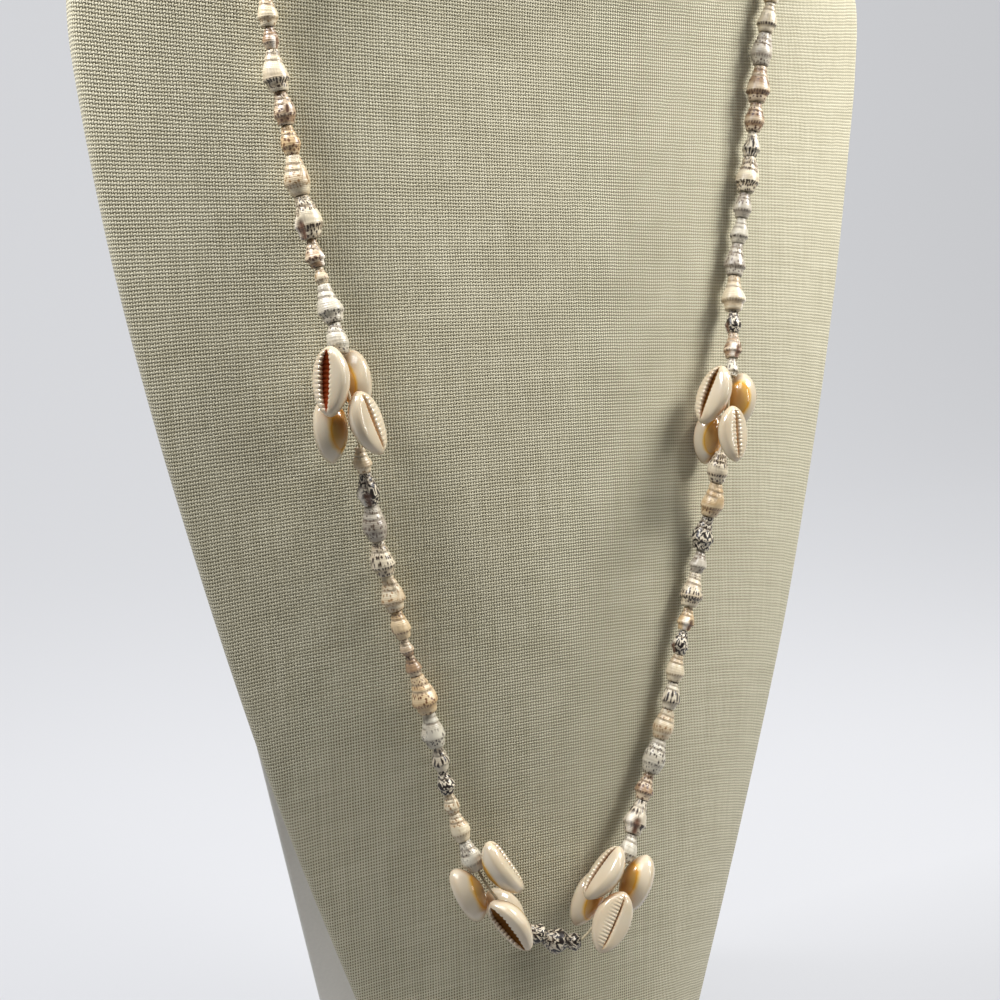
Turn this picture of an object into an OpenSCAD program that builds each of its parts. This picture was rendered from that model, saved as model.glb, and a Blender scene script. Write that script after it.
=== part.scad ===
// Long cowrie and small shell necklace on a linen neck bust that leans back on a fold-out leg.
// Millimetres, +Z up, front towards -Y, origin on the ground under the middle of the whole.

/* [Bust] */
// How far the back leans away for each millimetre of height
lean = 0.13; // [0.11:0.01:0.15]
// Height at which the plane of the back passes over the origin
cross_h = 236; // [234:1:238]
// Height of the fold line of the leg behind the bust
fold_h = 160; // [150:5:170]
// How far behind the origin the leg stands
leg_foot = 70; // [68:1:72]
// Thickness of the leg board
leg_t = 3; // [2:0.5:4]

/* [Thread] */
// Thickness of the thread
thread_d = 0.8; // [0.6:0.1:1.0]
// Diameter of the hole drilled through each small shell
bore_d = 1.6; // [1.5:0.1:1.8]

/* [Small shells] */
// Gap between neighbouring small shells
shell_gap = 0.6; // [0.5:0.05:0.7]
// Width of a small shell before its length is counted
shell_w0 = 1.2; // [0.8:0.1:1.3]
// Width gained for each millimetre of length
shell_wk = 0.55; // [0.5:0.01:0.56]

/* [Cowries] */
// Length of a cowrie
cowrie_l = 18; // [16:0.5:18.5]
// Width of a cowrie across its base
cowrie_w = 10.8; // [10:0.1:11]
// Height of the back of a cowrie above its widest line
cowrie_back = 5; // [4.5:0.1:5.2]
// Height of the base of a cowrie below its widest line
cowrie_base = 2.5; // [2.3:0.1:2.7]
// Width of the slit in the base
slit_w = 1.5; // [1.2:0.1:1.8]
// Depth of the slit
slit_d = 3.2; // [2:0.1:3.6]

/* [Hidden] */
// Sections of the bust: height, half width, thickness of the side edge, swell of the front
SECTIONS = [
    [0, 42.5, 5, 22],
    [40, 56, 5, 25],
    [80, 69.5, 5, 27],
    [120, 82.3, 5, 29],
    [160, 93.5, 6, 30],
    [200, 103.5, 6, 31],
    [240, 112.5, 6, 31],
    [280, 120, 6, 31],
    [318, 125, 7, 30],
    [342, 126.5, 9, 29],
    [365, 123.5, 13, 28],
    [383, 110.5, 17, 27],
    [398, 91.5, 21, 26],
    [411, 75.5, 24, 25],
    [424, 64.5, 26, 25],
    [438, 60, 27, 25],
    [455, 59.5, 27, 25],
];
section_steps = 3;
front_points = 25;

// Distance of the thread off the linen where a cluster of cowries hangs on it
cluster_off = 10.5;
// Front of the left side, from the top down: sideways place, height, distance of the thread off the linen
LEFT_FRONT = [
    [-80, 394, 5.2],
    [-80.4, 380, 4.8],
    [-81, 362, 4.3],
    [-81, 340, 4.3],
    [-77, 310, 4.3],
    [-72.4, 283, 4.3],
    [-67.8, 262, 7.5],
    [-65.1, 244, cluster_off],
    [-62.2, 226, 7.8],
    [-58.6, 203, 4.3],
    [-53.3, 179, 4.3],
    [-47.2, 157, 4.3],
    [-42.5, 134, 5],
    [-37.4, 118, 8],
    [-30.5, 105, cluster_off],
    [-22.5, 95, 8.5],
    [-15.5, 90.6, 8.3],
];
// Front of the right side, from the bottom up, in the same columns
RIGHT_FRONT = [
    [-8, 90, 9.3],
    [0, 102.5, cluster_off],
    [7, 114.5, 8],
    [15.2, 129, 5],
    [23.2, 148, 4.3],
    [30, 172, 4.3],
    [37.3, 195, 4.3],
    [41, 216, 7.8],
    [43, 235, cluster_off],
    [49, 254, 7.5],
    [54, 276, 4.3],
    [59.3, 300, 4.3],
    [63.8, 322, 4.3],
    [67.5, 345, 4.3],
    [71.8, 366, 4.3],
    [77, 382, 4.8],
    [80.6, 395, 5.2],
];
// Over one shoulder, from the front to the back: sideways place, distance in front of the plane of
// the back, height
OVER_SHOULDER = [
    [80.2, 27, 406],
    [80.2, 19, 414],
    [79.7, 9.5, 417.5],
    [77.2, 0.5, 417],
    [70.7, -6.5, 414.5],
    [62, -9.5, 412],
    [45, -8, 410],
    [24, -5.5, 409.3],
];
// Middle of the back, in the same columns
BACK_MIDDLE = [0, -4.6, 409];
route_steps = 8;

// Strings of small shells between one knot of the loop and the next: bare thread before, bare thread
// after, one digit a shell along the loop for its length in millimetres, where a is 10, b 11 and c 12
DIGITS = "0123456789abc";
STRINGS = [
    [0, 11.5, "8697a8556565655656565768679aa86b98bc85b9"],
    [13, 11, "79aaa856ba77689"],
    [13.2, 16.6, "685"],
    [9, 11, "8a8a98877a7aa9"],
    [11.5, 0, "687ba88b89ba98a9b666565565656567a8b976"],
];
// Fatness of the small shells of each string
FATNESS = [1, 1, 1.45, 1, 1];
// Outline of a small shell from its tip to its mouth: share of the length, share of the half width
SHELL_OUTLINE = [
    [0, 0.46],
    [0.11, 0.56],
    [0.14, 0.50],
    [0.27, 0.74],
    [0.31, 0.67],
    [0.48, 0.92],
    [0.66, 1],
    [0.78, 0.97],
    [0.92, 0.76],
    [1, 0.62],
];
shell_wall = 0.3;

// Cowries: cluster, place up the thread, distance from the thread, side of the thread, way the slit
// faces, lean of the top towards that way, roll about it, size. Angles go from the front of the bust
// towards its right side.
COWRIES = [
    [0, 5.1, 5.8, -59, -57, -9, 7, 1],
    [0, 4, 6, 140, 120, 3, 0, 0.92],
    [0, -7, 5.5, 20, 34, -3, -12, 0.97],
    [0, -7.1, 6.9, -126, -150, -2, -6, 0.98],
    [1, 8.4, 7.4, 62, 72, 3, 0, 0.99],
    [1, 6.8, 5.9, -114, -121, -9, 0, 0.98],
    [1, -4.8, 5.6, -17, -60, -4, -7, 0.96],
    [1, -6.2, 6.2, 180, 165, -4, 0, 0.9],
    [2, 4, 6.1, -83, -96, -11, 0, 0.97],
    [2, 5, 6.6, 88, 94, -3, 0, 0.97],
    [2, -6.9, 5.7, -4, -22, -4, 0, 0.99],
    [2, -5, 6.5, -163, -176, 2, 0, 0.93],
    [3, 4.8, 5.9, -88, -76, -9, 9, 1],
    [3, 5.4, 6.2, 112, 138, 0, 0, 0.9],
    [3, -6, 5.9, -13, 6, -4, -10, 0.9],
    [3, -6.6, 6.3, -172, 168, -4, 0, 0.91],
];
// Stations along a cowrie from end to end, as shares of its half length
COWRIE_STATIONS = [-0.985, -0.93, -0.82, -0.64, -0.4, -0.12, 0.16, 0.43, 0.66, 0.83, 0.93, 0.985];
thread_sides = 6;
seat_gap = 0.3;

cowrie_count = len(COWRIES);
function cowrie_name(i) = str("cowrie_", i + 1);

function unit(v) = v / norm(v);
function sum(v, n) = [for (i = 0, s = 0; i <= n; s = s + (i < n ? v[i] : 0), i = i + 1) s][n];
// A smooth curve through b and c, with a before them and d after them
function blend(a, b, c, d, t) =
    (2 * b + (c - a) * t + (2 * a - 5 * b + 4 * c - d) * t * t + (3 * b - a - 3 * c + d) * t * t * t) / 2;

// Bust
last_section = len(SECTIONS) - 1;
LEVELS = concat(
    [
        for (i = [0:last_section - 1], k = [0:section_steps - 1])
            blend(
                SECTIONS[max(i - 1, 0)],
                SECTIONS[i],
                SECTIONS[i + 1],
                SECTIONS[min(i + 2, last_section)],
                k / section_steps
            )
    ],
    [SECTIONS[last_section]]
);
HALF_WIDTHS = [for (v = LEVELS) [v[0], v[1]]];
EDGES = [for (v = LEVELS) [v[0], v[2]]];
SWELLS = [for (v = LEVELS) [v[0], v[3]]];
function back_y(z) = lean * (z - cross_h);
function swell_share(x, z) = 1 - pow(min(abs(x) / lookup(z, HALF_WIDTHS), 1), 2);
function front_y(x, z) = back_y(z) - lookup(z, EDGES) - lookup(z, SWELLS) * swell_share(x, z);
function front_normal(x, z) =
    unit([front_y(x + 0.5, z) - front_y(x - 0.5, z), -1, front_y(x, z + 0.5) - front_y(x, z - 0.5)]);
function ring_of(v) = concat(
    [[v[1], back_y(v[0]), v[0]], [-v[1], back_y(v[0]), v[0]]],
    [
        for (i = [0:front_points - 1])
            let (x = v[1] * (2 * i / (front_points - 1) - 1))
                [x, front_y(x, v[0]), v[0]]
    ]
);

// Skin of quarter faces between rings of the same number of points, with a lid on each end
function flat_list(v) = [for (a = v, b = a) b];
function skin_faces(rings, points) = [
    for (i = [0:rings - 2], j = [0:points - 1], half = [0, 1])
        let (a = i * points + j, b = i * points + (j + 1) % points)
            half == 0 ? [a, a + points, b] : [b, a + points, b + points]
];
function loop_faces(rings, points) = [
    for (i = [0:rings - 1], j = [0:points - 1], half = [0, 1])
        let (
            k = (i + 1) % rings,
            a = i * points + j,
            b = i * points + (j + 1) % points,
            c = k * points + j,
            d = k * points + (j + 1) % points
        )
            half == 0 ? [a, c, b] : [b, c, d]
];

module bust() {
    color("#cfc8ae")
        polyhedron(
            points = flat_list([for (v = LEVELS) ring_of(v)]),
            faces = concat(
                skin_faces(len(LEVELS), front_points + 2),
                [
                    [for (i = [0:front_points + 1]) i],
                    [for (i = [front_points + 1:-1:0]) (len(LEVELS) - 1) * (front_points + 2) + i]
                ]
            )
        );
}

// Leg
leg_top_y = back_y(fold_h) + seat_gap;
leg_top_half = lookup(fold_h, HALF_WIDTHS) - 2;
leg_foot_half = 46;

module back_leg() {
    color("#ddd6bf")
        intersection() {
            rotate([90, 0, 90])
                linear_extrude(2 * leg_top_half, center = true)
                    polygon([
                        [leg_top_y, fold_h],
                        [leg_foot - leg_t, 0],
                        [leg_foot, 0],
                        [leg_top_y + leg_t, fold_h]
                    ]);
            rotate([90, 0, 0])
                linear_extrude(4 * leg_foot, center = true)
                    polygon([
                        [-leg_top_half, fold_h],
                        [-leg_foot_half, 0],
                        [leg_foot_half, 0],
                        [leg_top_half, fold_h]
                    ]);
        }
}

// Loop of the necklace, from the middle of the back over the left shoulder and round
function front_place(v) = [v[0], front_y(v[0], v[1]), v[1]] + v[2] * front_normal(v[0], v[1]);
function back_place(v, side) = [side * v[0], back_y(v[2]) - v[1], v[2]];
shoulder_rows = len(OVER_SHOULDER);
FRONT_ROWS = concat(LEFT_FRONT, RIGHT_FRONT);
ROUTE = concat(
    [back_place(BACK_MIDDLE, 1)],
    [for (i = [shoulder_rows - 1:-1:0]) back_place(OVER_SHOULDER[i], -1)],
    [for (v = FRONT_ROWS) front_place(v)],
    [for (v = OVER_SHOULDER) back_place(v, 1)]
);
route_rows = len(ROUTE);
function route_row(i) = ROUTE[(i + route_rows) % route_rows];
CURVE = concat(
    [
        for (i = [0:route_rows - 1], k = [0:route_steps - 1])
            blend(route_row(i - 1), route_row(i), route_row(i + 1), route_row(i + 2), k / route_steps)
    ],
    [ROUTE[0]]
);
curve_last = len(CURVE) - 1;
DISTANCES = [
    for (i = 0, s = 0; i <= curve_last; s = s + (i < curve_last ? norm(CURVE[i + 1] - CURVE[i]) : 0), i = i + 1)
        s
];
ALONG_X = [for (i = [0:curve_last]) [DISTANCES[i], CURVE[i][0]]];
ALONG_Y = [for (i = [0:curve_last]) [DISTANCES[i], CURVE[i][1]]];
ALONG_Z = [for (i = [0:curve_last]) [DISTANCES[i], CURVE[i][2]]];
function along(s) = [lookup(s, ALONG_X), lookup(s, ALONG_Y), lookup(s, ALONG_Z)];
loop_length = DISTANCES[curve_last];

// Knots of the loop: its start, the middles of the four clusters, its end
CLUSTER_ROWS = [for (i = [0:len(FRONT_ROWS) - 1]) if (FRONT_ROWS[i][2] == cluster_off) i];
CLUSTER_AT = [for (i = CLUSTER_ROWS) DISTANCES[(1 + shoulder_rows + i) * route_steps]];
KNOTS = concat([0], CLUSTER_AT, [loop_length]);

// Joints between the small shells of each string, as distances along the loop
function digit(c) = search(c, DIGITS)[0];
function string_start(i) = KNOTS[i] + STRINGS[i][0];
function string_end(i) = KNOTS[i + 1] - STRINGS[i][1];
function joints(i) =
    let (
        lengths = [for (c = STRINGS[i][2]) digit(c)],
        n = len(lengths),
        scale = (string_end(i) - string_start(i)) / sum(lengths, n)
    )
        [for (k = [0:n]) string_start(i) + scale * sum(lengths, k)];
JOINTS = [for (i = [0:len(STRINGS) - 1]) joints(i)];

// One small shell from tip to mouth, drilled along its middle
module shell(length, fatness) {
    half = fatness * (shell_w0 + shell_wk * length) / 2;
    least = bore_d / 2 + shell_wall;
    rotate_extrude($fn = 24)
        polygon(concat(
            [for (v = SHELL_OUTLINE) [max(v[1] * half, least), v[0] * length]],
            [[bore_d / 2, length], [bore_d / 2, 0]]
        ));
}

// The shell between two points of the thread, with its tip at the first
module shell_between(a, b, fatness) {
    way = b - a;
    translate(a + unit(way) * shell_gap / 2)
        rotate([0, acos(way[2] / norm(way)), atan2(way[1], way[0])])
            shell(norm(way) - shell_gap, fatness);
}

// The tips point up the strands, so they lead on the left side and follow on the right
module string_of(i, tip_first) {
    at = JOINTS[i];
    for (k = [0:len(at) - 2]) {
        a = along(at[k]);
        b = along(at[k + 1]);
        shell_between(tip_first ? a : b, tip_first ? b : a, FATNESS[i]);
    }
}

module shells_left() {
    color("#d9c9ac") {
        string_of(0, true);
        string_of(1, true);
        string_of(2, true);
    }
}

module shells_right() {
    color("#cfc0aa") {
        string_of(3, false);
        string_of(4, false);
    }
}

// Thread
THREAD_STOPS = concat(
    flat_list([
        for (i = [0:len(STRINGS) - 2])
            concat(JOINTS[i], [KNOTS[i + 1] - 4, KNOTS[i + 1] + 4])
    ]),
    [for (k = [0:len(JOINTS[4]) - 2]) JOINTS[4][k]]
);
THREAD_POINTS = [for (s = THREAD_STOPS) along(s)];
stop_count = len(THREAD_POINTS);
bust_middle = [0, back_y(250) - 12, 250];
function thread_ring(i) =
    let (
        here = THREAD_POINTS[i],
        before = THREAD_POINTS[(i + stop_count - 1) % stop_count],
        after = THREAD_POINTS[(i + 1) % stop_count],
        t = unit(after - before),
        u = unit(cross(t, here - bust_middle)),
        v = cross(t, u)
    )
        [
            for (j = [0:thread_sides - 1])
                let (a = 360 * j / thread_sides)
                    here + thread_d / 2 * (cos(a) * u + sin(a) * v)
        ];

module thread() {
    color("#e9e4d6")
        polyhedron(
            points = flat_list([for (i = [0:stop_count - 1]) thread_ring(i)]),
            faces = loop_faces(stop_count, thread_sides)
        );
}

// Cowrie lying along Z with its slit towards -Y
function cowrie_girth(t) = pow(1 - t * t, 0.61) * (1 + 0.06 * t);
function slit_share(t) = abs(t) < 0.9 ? 1 - pow(abs(t) / 0.9, 6) : 0;
function cowrie_ring(t) =
    let (
        g = cowrie_girth(t),
        w = cowrie_w / 2 * g,
        h = cowrie_back * pow(g, 1.15),
        b = cowrie_base * pow(1 - pow(t, 6), 0.5),
        slit = slit_w / 2 * min(g * 1.3, 1),
        z = cowrie_l / 2 * t
    )
        concat(
            [for (a = [0:20:180]) [w * cos(a), h * sin(a), z]],
            [for (a = [200:20:240]) [w * cos(a), -b * pow(-sin(a), 0.62), z]],
            [[-slit, -b * 0.96, z], [0, -b * 0.96 + slit_d * g * slit_share(t) + 0.01, z], [slit, -b * 0.96, z]],
            [for (a = [300:20:340]) [w * cos(a), -b * pow(-sin(a), 0.62), z]]
        );
cowrie_points = len(cowrie_ring(0));

module cowrie_shape() {
    rings = len(COWRIE_STATIONS);
    polyhedron(
        points = flat_list([for (t = COWRIE_STATIONS) cowrie_ring(t)]),
        faces = concat(
            skin_faces(rings, cowrie_points),
            [
                [for (i = [0:cowrie_points - 1]) i],
                [for (i = [cowrie_points - 1:-1:0]) (rings - 1) * cowrie_points + i]
            ]
        )
    );
}

module cowrie(i) {
    row = COWRIES[i];
    s = CLUSTER_AT[row[0]];
    middle = along(s);
    way = unit(along(s + 4) - along(s - 4));
    up = row[0] < 2 ? -way : way;
    out = unit([0, -1, 0] + (up[1]) * up);
    right = cross(up, out);
    side = cos(row[3]) * out + sin(row[3]) * right;
    face = cos(row[4]) * out + sin(row[4]) * right;
    leant = cos(row[5]) * up + sin(row[5]) * face;
    slit = cos(row[5]) * face - sin(row[5]) * up;
    across = cross(leant, slit);
    long = cos(row[6]) * leant + sin(row[6]) * across;
    wide = cross(long, slit);
    place = middle + row[1] * up + row[2] * side;
    color("#eadfce")
        multmatrix([
            [wide[0], -slit[0], long[0], place[0]],
            [wide[1], -slit[1], long[1], place[1]],
            [wide[2], -slit[2], long[2], place[2]],
            [0, 0, 0, 1]
        ])
            scale(row[7])
                cowrie_shape();
}

bust();
back_leg();
thread();
shells_left();
shells_right();
for (i = [0:cowrie_count - 1]) {
    cowrie(i);
}
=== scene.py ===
"""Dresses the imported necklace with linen, thread and shells, and builds a studio round it."""

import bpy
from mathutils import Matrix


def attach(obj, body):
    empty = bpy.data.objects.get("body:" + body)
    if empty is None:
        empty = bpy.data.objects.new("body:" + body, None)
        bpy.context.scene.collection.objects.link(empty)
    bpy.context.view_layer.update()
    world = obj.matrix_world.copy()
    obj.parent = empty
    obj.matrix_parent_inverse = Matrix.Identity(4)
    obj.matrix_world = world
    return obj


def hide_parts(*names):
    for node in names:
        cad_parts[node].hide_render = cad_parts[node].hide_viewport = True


bl_info = {
    "name": "Cowrie shell necklace",
    "version": (1, 0, 0),
    "blender": (4, 5, 0),
    "location": "3D View > Sidebar > Necklace",
    "description": "Makes the finished pieces of a cowrie shell necklace on a linen neck bust",
    "category": "Add Mesh",
}

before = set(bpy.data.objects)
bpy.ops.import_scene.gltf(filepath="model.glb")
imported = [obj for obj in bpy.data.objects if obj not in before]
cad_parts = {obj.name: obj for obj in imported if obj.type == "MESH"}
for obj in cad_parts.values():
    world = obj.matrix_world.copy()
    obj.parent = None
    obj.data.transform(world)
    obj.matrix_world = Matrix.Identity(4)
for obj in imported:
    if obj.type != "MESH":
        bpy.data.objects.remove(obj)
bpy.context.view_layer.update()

import random
from functools import partial
from math import cos, hypot, pi, radians, sin, tau

import bpy
import numpy as np
from mathutils import Matrix, Vector

MM = 0.001
SEED = 7

# Shape of the bust, in millimetres, as in the part's source
LEAN = 0.13
CROSS_H = 236.0
FOLD_H = 160.0
LEG_FOOT = 70.0
LEG_T = 3.0
LEG_FOOT_HALF = 46.0
SEAT_GAP = 0.3
# Height, half width, thickness of the side edge, swell of the front
SECTIONS = [
    (0, 42.5, 5, 22), (40, 56, 5, 25), (80, 69.5, 5, 27), (120, 82.3, 5, 29), (160, 93.5, 6, 30),
    (200, 103.5, 6, 31), (240, 112.5, 6, 31), (280, 120, 6, 31), (318, 125, 7, 30),
    (342, 126.5, 9, 29), (365, 123.5, 13, 28), (383, 110.5, 17, 27), (398, 91.5, 21, 26),
    (411, 75.5, 24, 25), (424, 64.5, 26, 25), (438, 60, 27, 25), (455, 59.5, 27, 25),
]

# Loop of the necklace: sideways place, height, distance of the thread off the linen
CLUSTER_OFF = 10.5
LEFT_FRONT = [
    (-80, 394, 5.2), (-80.4, 380, 4.8), (-81, 362, 4.3), (-81, 340, 4.3), (-77, 310, 4.3),
    (-72.4, 283, 4.3), (-67.8, 262, 7.5), (-65.1, 244, CLUSTER_OFF), (-62.2, 226, 7.8),
    (-58.6, 203, 4.3), (-53.3, 179, 4.3), (-47.2, 157, 4.3), (-42.5, 134, 5), (-37.4, 118, 8),
    (-30.5, 105, CLUSTER_OFF), (-22.5, 95, 8.5), (-15.5, 90.6, 8.3),
]
RIGHT_FRONT = [
    (-8, 90, 9.3), (0, 102.5, CLUSTER_OFF), (7, 114.5, 8), (15.2, 129, 5), (23.2, 148, 4.3),
    (30, 172, 4.3), (37.3, 195, 4.3), (41, 216, 7.8), (43, 235, CLUSTER_OFF), (49, 254, 7.5),
    (54, 276, 4.3), (59.3, 300, 4.3), (63.8, 322, 4.3), (67.5, 345, 4.3), (71.8, 366, 4.3),
    (77, 382, 4.8), (80.6, 395, 5.2),
]
# Sideways place, distance in front of the plane of the back, height
OVER_SHOULDER = [
    (80.2, 27, 406), (80.2, 19, 414), (79.7, 9.5, 417.5), (77.2, 0.5, 417), (70.7, -6.5, 414.5),
    (62, -9.5, 412), (45, -8, 410), (24, -5.5, 409.3),
]
BACK_MIDDLE = (0, -4.6, 409)
ROUTE_STEPS = 8

# Small shells of each string: bare thread before and after, a digit for each shell's length, a
# letter for its kind and a digit for the way its mouth faces, in tenths of a turn from the front
STRINGS = [
    (0, 11.5, "8697a8556565655656565768679aa86b98bc85b9",
        "cdtbwcnpdcbtwcdsbtcwpdcbtnwdccbdbtcdbcww", "3816492750381649275038164927548205917364"),
    (13, 11, "79aaa856ba77689", "cnpdctbbtwsnccw", "507392648175930"),
    (13.2, 16.6, "685", "nnn", "527"),
    (9, 11, "8a8a98877a7aa9", "wsbwcscntdpntd", "20748352961704"),
    (11.5, 0, "687ba88b89ba98a9b666565565656567a8b976",
        "wbncpwpdsbbpdcdtbwcnpdcbtwcdsbtcwpdcbt", "49275038164827350914725038164927503816"),
]
# Fatness of the small shells of each string
FATNESS = (1, 1, 1.45, 1, 1)
KINDS = "ctndbwsp"
BORE_R = 0.8
SHELL_WALL = 0.3

# Cowries: cluster, place up the thread, distance from it, side of the thread, way the slit faces,
# lean, roll, size
COWRIES = [
    (0, 5.1, 5.8, -59, -57, -9, 7, 1),
    (0, 4, 6, 140, 120, 3, 0, 0.92),
    (0, -7, 5.5, 20, 34, -3, -12, 0.97),
    (0, -7.1, 6.9, -126, -150, -2, -6, 0.98),
    (1, 8.4, 7.4, 62, 72, 3, 0, 0.99),
    (1, 6.8, 5.9, -114, -121, -9, 0, 0.98),
    (1, -4.8, 5.6, -17, -60, -4, -7, 0.96),
    (1, -6.2, 6.2, 180, 165, -4, 0, 0.9),
    (2, 4, 6.1, -83, -96, -11, 0, 0.97),
    (2, 5, 6.6, 88, 94, -3, 0, 0.97),
    (2, -6.9, 5.7, -4, -22, -4, 0, 0.99),
    (2, -5, 6.5, -163, -176, 2, 0, 0.93),
    (3, 4.8, 5.9, -88, -76, -9, 9, 1),
    (3, 5.4, 6.2, 112, 138, 0, 0, 0.9),
    (3, -6, 5.9, -13, 6, -4, -10, 0.9),
    (3, -6.6, 6.3, -172, 168, -4, 0, 0.91),
]
# Looks of each cowrie: width of the slit, length of the ribs on the left lip and on the right lip,
# number of teeth, warmth of the back, darkness of the inside, which is partly the shell's brown
# and partly painted shade, shift of the slit to the right
COWRIE_LOOKS = [
    (3.3, 2.8, 0.8, 15, 0.5, 1, 0),
    (1.6, 1.5, 1.5, 14, 0.1, 0.5, 0),
    (1.2, 0.7, 3, 14, 0.3, 0, 0.3),
    (1.6, 1.5, 1.5, 14, 0.7, 0.5, 0),
    (1.6, 1.5, 1.5, 15, 0.6, 0.5, 0),
    (1.6, 1.5, 1.5, 14, 0.4, 0.5, 0),
    (5.2, 0.9, 0.7, 14, 0.4, 0.6, -0.1),
    (1.6, 1.5, 1.5, 15, 0.3, 0.5, 0),
    (1.5, 1.3, 0.6, 16, 0.5, 0.6, -0.5),
    (1.6, 1.5, 1.5, 14, 0.7, 0.5, 0),
    (0.4, 2.8, 0.7, 18, 0.3, 0, 0.8),
    (1.6, 1.5, 1.5, 14, 0.2, 0.5, 0),
    (2, 2.8, 0.5, 15, 0.5, 0.6, -0.3),
    (1.6, 1.5, 1.5, 14, 0.8, 0.5, 0),
    (0.9, 2, 2, 14, 0.3, 0, 0.3),
    (1.6, 1.5, 1.5, 15, 0.1, 0.5, 0),
]


def linear(code):
    """An sRGB hex colour as linear red, green and blue."""
    parts = [int(code[i : i + 2], 16) / 255 for i in (1, 3, 5)]
    return tuple(c / 12.92 if c <= 0.04045 else ((c + 0.055) / 1.055) ** 2.4 for c in parts)


def shade(colour, red, green, blue):
    """A linear colour darkened to a share of its red, green and blue."""
    return tuple(c * share for c, share in zip(colour, (red, green, blue)))


def rgba(colour):
    """A hex or linear colour as a linear one with full alpha."""
    return (*(linear(colour) if isinstance(colour, str) else colour), 1.0)


def length_setting(name, description, metres):
    """A size of the panel."""
    return bpy.props.FloatProperty(
        name=name, description=description, default=metres, unit="LENGTH"
    )


def colour_setting(name, description, code):
    """A colour of the panel."""
    return bpy.props.FloatVectorProperty(
        name=name, description=description, default=linear(code), subtype="COLOR"
    )


class NecklaceSizes(bpy.types.PropertyGroup):
    """Sizes of the finished pieces."""

    thread: length_setting("Thread", "Thickness of the twisted thread", 0.0008)
    shell_gap: length_setting("Shell gap", "Gap between small shells", 0.0002)
    cowrie_length: length_setting("Cowrie length", "Length of a cowrie of size 1", 0.018)
    cowrie_width: length_setting("Cowrie width", "Width of a cowrie's base", 0.0108)
    weft_pitch: length_setting("Weft pitch", "From one weft thread to the next", 0.00086)
    warp_pitch: length_setting("Warp pitch", "From one warp thread to the next", 0.00076)


class NecklaceColours(bpy.types.PropertyGroup):
    """Colours of the finished pieces."""

    linen: colour_setting("Linen", "Linen threads", "#cfc9af")
    board: colour_setting("Board", "Covered leg board", "#d6d2c8")
    thread: colour_setting("Thread", "Cotton thread", "#c6ba98")
    cowrie: colour_setting("Cowrie", "Sides and base of a cowrie", "#d0c2a8")
    ring: colour_setting("Ring", "Ring on a cowrie's back", "#d39326")
    backdrop: colour_setting("Backdrop", "Floor and backdrop", "#e4e5e8")


def wire(node, inputs):
    """Sets a node's inputs, given in order or by name, or links each to a socket or to the first
    output in use of another node."""
    for key, value in inputs.items() if isinstance(inputs, dict) else enumerate(inputs):
        if isinstance(value, bpy.types.Node):
            value = next(socket for socket in value.outputs if socket.enabled)
        if isinstance(value, bpy.types.NodeSocket):
            node.id_data.links.new(value, node.inputs[key])
        else:
            node.inputs[key].default_value = value


def add_node(tree, kind, inputs=(), operation=None, stops=None, **settings):
    """Adds a node with its settings, then sets or links its inputs."""
    node = tree.nodes.new("ShaderNode" + kind)
    if operation:
        node.operation = operation
    for key, value in settings.items():
        setattr(node, key, value)
    if stops:
        elements = node.color_ramp.elements
        while len(elements) < len(stops):
            elements.new(0.5)
        for element, (place, colour) in zip(elements, stops):
            element.position = place
            element.color = rgba(colour)
    wire(node, inputs)
    return node


def new_material(name):
    """A material with only its shader and output, what adds a node to it, and the shader."""
    material = bpy.data.materials.new(name)
    material.use_nodes = True
    material.node_tree.nodes.clear()
    add = partial(add_node, material.node_tree)
    shader = add("BsdfPrincipled")
    add("OutputMaterial", {"Surface": shader})
    return material, add, shader


# Linen: length of a thick place in a yarn and how far it shifts the rows, size of the places
# where the cloth is pulled tight, and how many streaks a metre holds along a yarn
YARN_LUMP = 0.006
YARN_SHIFT = 0.0005
PULLED_PLACE = 0.014
STREAKS_ALONG = 30


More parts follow.
